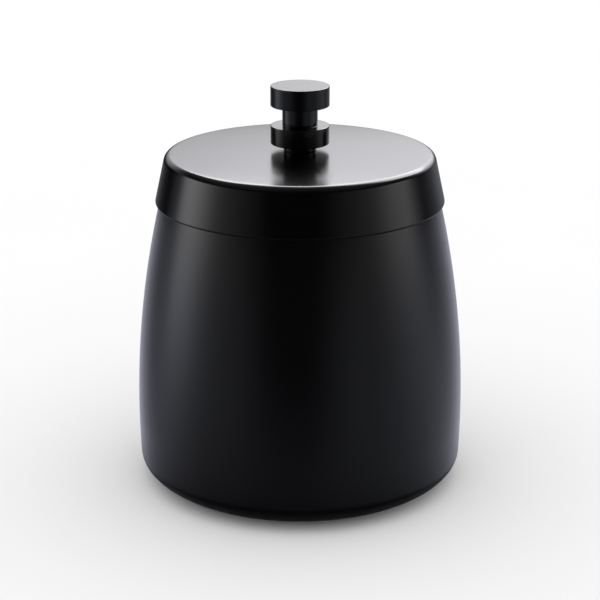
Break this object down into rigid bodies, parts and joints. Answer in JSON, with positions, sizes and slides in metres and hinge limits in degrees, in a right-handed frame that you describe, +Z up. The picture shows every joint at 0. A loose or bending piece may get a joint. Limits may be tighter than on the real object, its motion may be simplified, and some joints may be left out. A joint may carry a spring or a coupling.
{
  "type": "ice bucket",
  "caption": "Barrel-shaped insulated ice bucket with a steel inner cup, a nearly flat overlapping lid that lifts off, and a turned spool knob.",
  "frame": {"origin": "centre of the foot ring's underside, on the surface that the bucket stands on", "axes": "+Z up, along the axis that every piece is turned about"},
  "size_m": [0.16, 0.16, 0.1951],
  "materials": {
    "body_coating": "satin black powder coat on steel",
    "lid_coating": "semi-gloss black coat on steel",
    "knob_coating": "semi-gloss black coat on turned metal",
    "liner_steel": "brushed round the axis",
    "pan_steel": "spun, brushed round the axis",
    "base_steel": "plain mill finish",
    "fastener_steel": "zinc plated",
    "gasket_silicone": "translucent grey silicone",
    "seal_rubber": "matt black",
    "foot_rubber": "matt black",
    "plug_rubber": "matt black"
  },
  "bodies": {
    "bucket": {"outer_shell": "body_coating", "inner_liner": "liner_steel", "base_plate": "base_steel", "vent_plug": "plug_rubber", "foot_ring": "foot_rubber"},
    "lid": {"lid_shell": "lid_coating", "lid_pan": "pan_steel", "lid_gasket": "gasket_silicone", "spacer_bush": "fastener_steel", "knob_collar": "knob_coating", "knob": "knob_coating", "knob_screw": "fastener_steel", "lock_washer": "fastener_steel", "flat_washer": "fastener_steel", "seal_washer": "seal_rubber"}
  },
  "joints": [
    {"name": "lid_lift", "type": "slide", "parent": "bucket", "child": "lid", "axis": [0, 0, 1], "range_m": [0, 0.1]}
  ]
}
